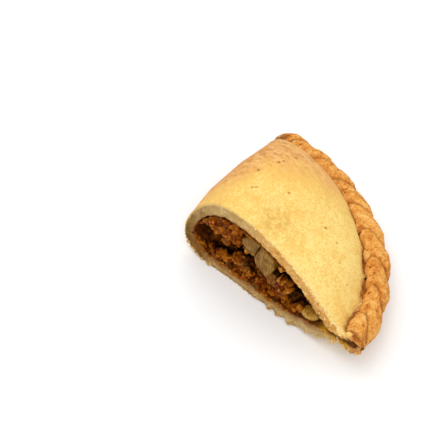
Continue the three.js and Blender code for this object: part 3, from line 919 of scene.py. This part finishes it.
minceLook = {
    "voxel": 0.28,
    "coreVoxel": 0.6,
    "granules": 620,
    "granuleSize": (0.45, 1.25),
    "tries": 12,        # places drawn for each granule that is kept
    "sunk": 0.3,
    "seenDepth": 14.0,
    "doughGap": 0.7,
    "onionGap": 0.9,
    "crags": (1.3, 0.7),
    "grain": (0.5, 0.35),
    "knife": -0.1,      # the knife trims what stands before this y
    "knifeKept": 0.2,
    "pits": 2.4,
    "pitSize": 2.6,
    "recess": 4.6,      # the loose part has crumbled back by this much
    "hollow": 4.5,      # and more under the clinging part, towards the fold
    "edgeGranules": 130,        # on the dough floor, just behind the cut
    "edgeSize": (0.4, 0.9),
    "edgeSunk": 0.25,
    "edgeDepth": (0.3, 3), "edgeTo": 46,
    "layerEdge": (      # lower edge of the part that clings under the top, x and z at the cut
        (3.0, 15.4), (5.3, 16.2), (10.8, 19.6), (15.1, 18.8), (18.4, 16.4), (22.0, 19.7), (25.1, 18.9),
        (29.0, 20.7), (34.0, 22.0), (37.5, 26.5), (48.0, 24.0), (60.0, 20.0),
    ),
    "hiddenKept": 0.1,
    "lightReach": 14.0,
    "lightRays": 40,
    "lightLift": 0.35,
    "seed": 21,
    "oliveLumps": ((38.4, 2.0, 15.2, 2.7), (24.6, 3.0, 8.6, 1.6), (43.4, 2.0, 12.4, 1.5)),
    "lumps": (          # clumps that stand out at the cut: x, y, z and half width
        (15.3, 2.2, 7.6, 2.5), (11.6, 2.4, 6.8, 1.7), (18.4, 2.0, 7.4, 1.6),
        (22.6, 3.6, 9.4, 2.5), (20.4, 3.2, 8.4, 1.5), (25.0, 3.0, 8.0, 1.7), (27.6, 1.6, 7.2, 1.7),
        (38.2, 2.2, 14.2, 2.2), (42.3, 2.0, 18.2, 1.7), (41.6, 1.6, 16.2, 1.4), (45.0, 2.2, 18.0, 1.3),
        (43.2, 2.0, 12.8, 1.9), (44.6, 2.4, 15.0, 1.5), (39.6, 2.0, 7.8, 1.6), (43.0, 2.0, 8.9, 1.6),
        (40.6, 2.0, 10.6, 1.6), (49.8, 2.0, 9.6, 1.9), (47.2, 1.6, 7.4, 1.4),
        (18.8, 1.4, 17.8, 1.4), (15.4, 1.4, 20.3, 1.4), (9.6, 1.3, 20.8, 1.2), (22.2, 1.6, 20.6, 1.4),
        (6.6, 1.3, 17.6, 1.1), (12.4, 1.2, 22.0, 1.7), (17.0, 1.2, 22.4, 1.6), (21.2, 1.2, 24.4, 1.5),
        (25.6, 0.9, 28.6, 0.9), (28.6, 0.9, 29.0, 1.0), (31.6, 0.9, 29.0, 1.0), (34.2, 0.9, 28.6, 0.9),
        (36.8, 1.0, 27.4, 0.9), (39.4, 1.0, 25.8, 0.9), (41.6, 1.2, 23.4, 0.9),
    ),
    "lumpRough": 0.35, "lumpFlatness": (0.8, 1.15),
}


def unitBall(subdivisions):     # corners and faces of one ball, to be copied many times
    bpy.ops.object.select_all(action="DESELECT")
    bpy.ops.mesh.primitive_ico_sphere_add(subdivisions=subdivisions, radius=1)
    ball = bpy.context.object
    corners = readSpots(ball)
    faces = np.array([face.vertices[:] for face in ball.data.polygons])
    bpy.data.objects.remove(ball)
    return corners, faces


def surfaceSpots(piece, count, draw):     # places spread evenly over a piece's faces, with normals
    mesh = piece.data
    mesh.calc_loop_triangles()
    corners = readSpots(piece)
    faces = np.array([t.vertices[:] for t in mesh.loop_triangles])
    a, b, c = (corners[faces[:, i]] for i in range(3))
    cross = np.cross(b - a, c - a)
    area = np.linalg.norm(cross, axis=1)
    chosen = draw.choice(len(faces), count, p=area / area.sum())
    u, v = draw.random(count), draw.random(count)
    flip = u + v > 1
    u[flip], v[flip] = 1 - u[flip], 1 - v[flip]
    spots = a[chosen] + u[:, None] * (b - a)[chosen] + v[:, None] * (c - a)[chosen]
    return spots, cross[chosen] / np.maximum(area[chosen], 1e-12)[:, None]


def scatterMesh(name, spots, sizes, ball, draw, rough=0.3, flatness=(0.7, 1.2)):
    corners, faces = ball
    allCorners, allFaces = [], []
    for i, (spot, size) in enumerate(zip(spots, sizes)):
        turn = np.linalg.qr(draw.normal(size=(3, 3)))[0]
        if np.linalg.det(turn) < 0:
            turn[:, 0] *= -1
        shape = corners * draw.uniform(*flatness, 3)
        shape = shape * (1 + rough * unevenness(shape + i * 3.7, 0.8, 2, 2))[:, None]
        allCorners.append(shape @ turn.T * size * mm + spot)
        allFaces.append(faces + i * len(corners))
    mesh = bpy.data.meshes.new(name)
    mesh.from_pydata(np.concatenate(allCorners).tolist(), [], np.concatenate(allFaces).tolist())
    piece = bpy.data.objects.new(name, mesh)
    bpy.context.scene.collection.objects.link(piece)
    return piece


def joinInto(piece, other):
    pick(piece)
    other.select_set(True)
    bpy.ops.object.join()


def openness(piece, chosen):     # how much of the light each chosen point can see
    trees = treeOf(piece), nodeTrees["crust"]
    rays = minceLook["lightRays"]
    reach = minceLook["lightReach"] * mm
    steps = np.arange(rays) + 0.5
    rise = 1 - 2 * steps / rays
    ring = np.sqrt(1 - rise ** 2)
    turns = 2.399963 * steps        # the golden angle
    ways = np.stack([ring * np.cos(turns), ring * np.sin(turns), rise], 1)
    ways = ways[(ways[:, 1] < 0.35) & (ways[:, 2] > -0.45)]
    spots = readSpots(piece)
    normals = readNormals(piece)
    result = np.ones(len(spots))
    for i in chosen:
        facing = ways @ normals[i]
        start = Vector(spots[i] + minceLook["lightLift"] * mm * normals[i])
        light = total = 1e-6
        for way, weight in zip(ways, facing):
            if weight < 0.1:
                continue
            total += weight
            heading = Vector(way)
            if all(tree.ray_cast(start, heading, reach)[0] is None for tree in trees):
                light += weight
        result[i] = light / total
    return result


def minceFinish():
    material, tree, shader, place = startMaterial("cookedMince")
    granule = cellsOf(tree, place, 2.0, output="Color")
    blotch = noiseOf(tree, place, 4.5, 3, 0.6)
    fine = noiseOf(tree, place, 0.6, 4, 0.7)
    ridgeLight = valueOf(tree, "ridgeLight")
    level = added(
        tree, scaled(tree, granule, 0.34, 0.1), scaled(tree, blotch, 0.3, 0.1), scaled(tree, fine, 0.5, 0.2),
        scaled(tree, ridgeLight, 0.8, 0.35),
    )
    meat = rampOf(
        tree, level, (0.24, "#1e0800"), (0.4, "#4c1c01"), (0.54, "#783a05"), (0.7, "#a46012"), (0.9, "#d09a50"),
    )
    olive = rampOf(tree, noiseOf(tree, place, 3.2, 2, 0.5), (0.58, 0.0), (0.68, 0.6))
    meat = mixOf(tree, olive, meat, "#6b4a1c")
    red = rampOf(tree, noiseOf(tree, place, 2.6, 3, 0.6), (0.52, 0.0), (0.66, 0.6))
    meat = mixOf(tree, red, meat, "#7a2604")
    grey = added(tree, scaled(tree, fine, 0.6), scaled(tree, ridgeLight, 0.4))
    grey = rampOf(tree, grey, (0.35, "#2e1c08"), (0.65, "#8a6a3a"))
    meat = coated(tree, meat, ("olive", 0.8, grey))
    meat = mixOf(tree, valueOf(tree, "shade"), meat, "#140501")
    setSurface(tree, shader, meat, 0.35, 0.015)
    bumpOf(tree, shader, fine, 0.5, 0.3)
    return material


def aboveLayer(x, z):       # height over the lower edge of the clinging part
    return z - np.interp(x, *np.array(minceLook["layerEdge"]).T)


def crumbleBack(piece):
    look = minceLook
    flat = toLayout(readSpots(piece))
    x, y, z = flat.T
    above = aboveLayer(x, z)
    below = 1 - ease(above, -2.4, -0.4)
    front = np.nonzero(y < 6)[0]
    pits = np.zeros(len(flat))
    pits[front] = np.clip(unevenness(flat[front], look["pitSize"], 6), 0, 1)
    hollow = hump(above, -2.8, 1.7) * (1 - ease(x, 20, 34))
    back = look["recess"] * below * ease(z, 3.6, 9.0) + look["hollow"] * hollow
    flat[:, 1] += back * (1 - ease(y, 1, 12))
    flat[:, 1] += look["pits"] * pits * (1 - ease(y, 1, 6))
    writeSpots(piece, fromLayout(flat))


def edgeSpots(draw):
    look = minceLook
    spots = readSpots(crustShell)
    x, y, _ = toLayout(spots).T
    front, back = look["edgeDepth"]
    floor = (readValue(crustShell, "stainAndShade") > 0.5) & (readNormals(crustShell)[:, 2] > 0.4)
    near = np.nonzero(floor & (y > front) & (y < back) & (x < look["edgeTo"]))[0]
    return spots[draw.choice(near, look["edgeGranules"])] - (0, 0, look["edgeSunk"] * mm)


def granuleSpots(core, draw):       # places and sizes, clear of the dough and the onion
    look = minceLook
    spots, normals = surfaceSpots(core, look["granules"] * look["tries"], draw)
    seen = toLayout(spots)[:, 1] < look["seenDepth"]
    spots, normals = spots[seen], normals[seen]
    clear = distances(nodeTrees["crust"], spots, 5) > look["doughGap"]
    for name in ("onion_upper", "onion_lower", "onion_end"):
        clear &= distances(nodeTrees[name], spots, 5) > look["onionGap"]
    kept = np.nonzero(clear)[0][:look["granules"]]
    low, high = look["granuleSize"]
    sizes = low * (high / low) ** draw.random(len(kept))
    places = spots[kept] - normals[kept] * (sizes * look["sunk"] * mm)[:, None]
    edge = edgeSpots(draw)
    edgeSizes = draw.uniform(*look["edgeSize"], len(edge))
    return np.concatenate([places, edge]), np.concatenate([sizes, edgeSizes])


def paintMince(core, flat):     # values that the mince's finish reads
    look = minceLook
    x, y, z = flat.T
    edges = readEdges(core)
    light = spread(openness(core, np.nonzero(y < look["seenDepth"])[0]), edges, 2)
    below = -aboveLayer(x, z)
    hollow = ease(below, 0.4, 1.6) * (1 - ease(below, 4, 8)) * (1 - ease(x, 26, 36)) * ease(y, 1.6, 4.0)
    giveValue(core, "shade", np.max([1 - ease(light, 0.15, 0.8), 0.85 * ease(y, 3, 8), 0.95 * hollow], axis=0))
    olive = [hump(np.linalg.norm(flat - lump[:3], axis=1), 0, lump[3]) for lump in look["oliveLumps"]]
    giveValue(core, "olive", np.max(olive, axis=0))
    # painted light and shade: convex places are lighter and hollows darker
    mean = np.stack([spread(flat[:, k], edges, 8) for k in range(3)], 1)
    giveValue(core, "ridgeLight", 0.5 + 1.2 * ((flat - mean) * readNormals(core)).sum(1))


def makeFilling():
    look = minceLook
    draw = np.random.default_rng(look["seed"])
    core = copyNode("filling", "minceFilling")
    remesh(core, look["coreVoxel"])
    crumbleBack(core)
    lumps = np.array(look["lumps"])
    joinInto(core, scatterMesh(
        "clumps", fromLayout(lumps[:, :3]), lumps[:, 3], unitBall(3), draw, look["lumpRough"], look["lumpFlatness"],
    ))
    remesh(core, look["coreVoxel"])
    places, sizes = granuleSpots(core, draw)
    joinInto(core, scatterMesh("granules", places, sizes, unitBall(2), draw))
    remesh(core, look["voxel"])
    thinHidden(core, toLayout(readSpots(core))[:, 1] > look["seenDepth"] + 2, look["hiddenKept"])
    depth = toLayout(readSpots(core))[:, 1]
    giveGroup(core, "seenArea", 1 - ease(depth, look["seenDepth"] - 4, look["seenDepth"]))
    roughen(core, "minceCrags", *look["crags"], group="seenArea")
    roughen(core, "minceGrain", *look["grain"], group="seenArea", depth=3)
    flat = toLayout(readSpots(core))
    front = flat[:, 1] < look["knife"]
    flat[front, 1] = look["knife"] + look["knifeKept"] * (flat[front, 1] - look["knife"])
    writeSpots(core, fromLayout(flat))
    paintMince(core, flat)
    return finishPiece(core, minceFinish(), "filling", "filling")


mince = makeFilling()


# onion slices

onionLook = {
    "voxel": 0.2,
    "swell": 0.25,
    "waves": (3.0, 0.4),
    "pullReach": 2.4,
    "pulls": {          # corners drawn to where they show: x, z and the move
        "onion_upper": ((25.6, 28.2, 1.6, -1.2), (24.6, 21.6, 1.2, 2.0)),
        "onion_lower": ((33.7, 18.0, -1.7, -0.9), (36.6, 15.2, -0.3, -1.2), (39.8, 25.6, -0.9, -0.6)),
        "onion_end": (),
    },
}


def onionFinish(name, tones):
    material, tree, shader, place = startMaterial(name)
    veins = noiseOf(tree, place, 0.9, 2, 0.5, stretch=(2.6, 0.5, 0.35))
    cloud = noiseOf(tree, place, 3.0, 3, 0.5)
    level = added(tree, scaled(tree, veins, 0.45), scaled(tree, cloud, 0.55))
    flesh = rampOf(tree, level, *zip((0.32, 0.48, 0.64), tones))
    setSurface(tree, shader, flesh, 0.32, 0.06)
    bumpOf(tree, shader, veins, 0.4, 0.3)
    return material


def makeOnion(nodeName, pieceName, material):
    piece = copyNode(nodeName, pieceName)
    remesh(piece, onionLook["voxel"])
    useModifier(piece, "SMOOTH", factor=0.5, iterations=3)
    flat = toLayout(readSpots(piece))
    for x, z, sideways, rise in onionLook["pulls"][nodeName]:
        pull = hump(np.hypot(flat[:, 0] - x, flat[:, 2] - z), 0, onionLook["pullReach"])
        flat[:, 0] += sideways * pull
        flat[:, 2] += rise * pull
    writeSpots(piece, fromLayout(flat))
    useModifier(piece, "DISPLACE", strength=onionLook["swell"] * mm, mid_level=0)
    roughen(piece, pieceName + "Waves", *onionLook["waves"])
    finishPiece(piece, material, "onion", nodeName)


onionMaterial = onionFinish("cookedOnion", ("#4e2e04", "#785010", "#a27a34"))
makeOnion("onion_upper", "onionUpper", onionMaterial)
makeOnion("onion_lower", "onionLower", onionMaterial)
makeOnion("onion_end", "onionEnd", onionFinish("saucyOnion", ("#6a4408", "#9c6c20", "#c29a4c")))


# crumbs, flakes and specks on the surfaces

bitsLook = {
    "seed": 34,
    "edgeCrumbs": 150,          # along the cut's top edge, more towards the crimp
    "edgeSize": (0.14, 0.42),
    "edgeAlong": (30, 68), "edgeFrom": 26, "edgeUp": 12.5, "edgeDepth": 1.4,
    "rimFlakes": 90,            # along its lower edge, more and larger towards the fold
    "rimSize": (0.15, 0.5),
    "rimUp": (0.3, 1.6), "rimDepth": 0.5, "foldUp": 7, "foldEnd": (0, 9), "foldRun": (6, 24),
    "endFlakes": 26,            # at the crimp's end
    "endSize": (0.3, 0.8),
    "endFrom": 64, "endUp": (5, 9.5), "endDepth": 1.0,
    "creaseCrumbs": ((362, 301), (358, 310), (354, 321), (351, 328), (361, 304), (356, 315), (349, 331)),
    "creaseSize": (0.3, 0.5),
    "bitRough": 0.5,
    "pepper": (         # red flecks in the filling, by pixel, and their size
        ((242.6, 276.8), 0.5), ((258.8, 283.8), 0.4), ((203.8, 218.4), 0.45), ((212, 223), 0.4),
        ((278.7, 287.2), 0.35), ((293.2, 312), 0.45), ((247, 279), 0.3), ((262, 281), 0.3),
    ),
    "dark": (((192.8, 232.3), 0.55), ((217.7, 258.1), 0.45), ((306.8, 309.2), 0.5), ((366, 279), 0.5)),
    "speckTones": {"pepper": ("#8e1206", "#c4321a"), "dark": ("#120a05", "#2a160a")},
    "speckRough": 0.4, "speckFlatness": (0.5, 1.2),
}


def plainFinish(name, colours, rough):
    material, tree, shader, place = startMaterial(name)
    shade = noiseOf(tree, place, 0.8, 3, 0.6)
    setSurface(tree, shader, mixOf(tree, shade, *colours), rough, 0.12)
    return material


def doughBits(name, places, sizes, draw, flatness, material):
    bits = scatterMesh(name, places, sizes, unitBall(1), draw, bitsLook["bitRough"], flatness)
    finishPiece(bits, material, "crust")


def makeCrumbs():
    look = bitsLook
    draw = np.random.default_rng(look["seed"])
    spots = readSpots(crustShell)
    x, y, z = toLayout(spots).T
    _, facing, rising = readNormals(crustShell).T
    left, right = look["edgeAlong"]
    topEdge = (y < look["edgeDepth"]) & (z > look["edgeUp"]) & (x > left) & (x < right) & (rising > 0.3)
    topEdge = np.nonzero(topEdge)[0]
    toCrimp = x[topEdge] - look["edgeFrom"]
    tops = draw.choice(topEdge, look["edgeCrumbs"], p=toCrimp / toCrimp.sum())
    low, high = look["rimUp"]
    high = high + look["foldUp"] * (1 - ease(x, *look["foldEnd"]))
    lowEdge = np.nonzero((y < look["rimDepth"]) & (z > low) & (z < high) & (facing > -0.9))[0]
    nearFold = 1 - ease(x, *look["foldRun"])
    toFold = 1 + 2.5 * nearFold[lowEdge]
    lows = draw.choice(lowEdge, look["rimFlakes"], p=toFold / toFold.sum())
    tree = treeOf(crustShell)
    creases = [np.array(seenSpot(tree, pixel)) for pixel in look["creaseCrumbs"]]
    places = np.concatenate([spots[tops], creases])
    sizes = [draw.uniform(*look["edgeSize"], len(tops)), draw.uniform(*look["creaseSize"], len(creases))]
    material = plainFinish("crumbDough", ("#e2c070", "#fbe8b4"), 0.8)
    doughBits("paleCrumbs", places, np.concatenate(sizes), draw, (0.7, 1.2), material)
    sizes = draw.uniform(*look["rimSize"], len(lows)) * (1 + 0.5 * nearFold[lows])
    material = plainFinish("flakeDough", ("#ab7c3a", "#dfbf80"), 0.8)
    doughBits("rimFlakes", spots[lows], sizes, draw, (0.4, 1.3), material)
    low, high = look["endUp"]
    tornEnd = np.nonzero((y < look["endDepth"]) & (x > look["endFrom"]) & (z > low) & (z < high))[0]
    ends = draw.choice(tornEnd, look["endFlakes"])
    sizes = draw.uniform(*look["endSize"], len(ends))
    material = plainFinish("tornDough", ("#b87c30", "#f2d290"), 0.7)
    doughBits("endFlakes", spots[ends], sizes, draw, (0.2, 1.4), material)


def makeSpecks():
    look = bitsLook
    draw = np.random.default_rng(look["seed"] + 1)
    trees = [treeOf(mince), treeOf(crustShell), treeOf(crimpRope)]
    for name, colours in look["speckTones"].items():
        places = []
        for pixel, _ in look[name]:
            hits = [hit for hit in (seenSpot(tree, pixel) for tree in trees) if hit]
            places.append(np.array(min(hits, key=lambda hit: (hit - cameraSpot()).length)))
        sizes = [size for _, size in look[name]]
        specks = scatterMesh(
            name + "Specks", places, sizes, unitBall(1), draw, look["speckRough"], look["speckFlatness"],
        )
        finishPiece(specks, plainFinish(name + "Speck", colours, 0.5), "filling")


makeCrumbs()
makeSpecks()


# stage

stageLook = {
    "floorSize": 3.0,
    "floorTone": (0.88, 0.88, 0.88, 1),
    "worldTone": (1, 1, 1, 1),
    "worldStrength": 0.78,
    "lights": (         # place, size and power
        ((-0.34, 0.14, 1.0), 1.0, 4.3),
        ((0.50, -0.45, 1.0), 0.9, 5.2),
    ),
}


def makeStage():
    bpy.ops.object.select_all(action="DESELECT")
    bpy.ops.mesh.primitive_plane_add(size=stageLook["floorSize"])
    floor = bpy.context.object
    floor.name = "floor"
    material, tree, shader, _ = startMaterial("paleFloor")
    setSurface(tree, shader, stageLook["floorTone"], 0.9, 0.1)
    floor.data.materials.append(material)
    world = bpy.data.worlds.new("studio")
    world.use_nodes = True
    sky = world.node_tree.nodes["Background"].inputs
    sky["Color"].default_value = stageLook["worldTone"]
    sky["Strength"].default_value = stageLook["worldStrength"]
    bpy.context.scene.world = world
    for place, size, power in stageLook["lights"]:
        bpy.ops.object.light_add(type="AREA", location=place)
        lamp = bpy.context.object
        lamp.data.size = size
        lamp.data.energy = power
        lamp.rotation_euler = (-Vector(place)).to_track_quat("-Z", "Y").to_euler()
    bpy.context.scene.view_settings.view_transform = "Standard"


makeStage()

print("scene ready")
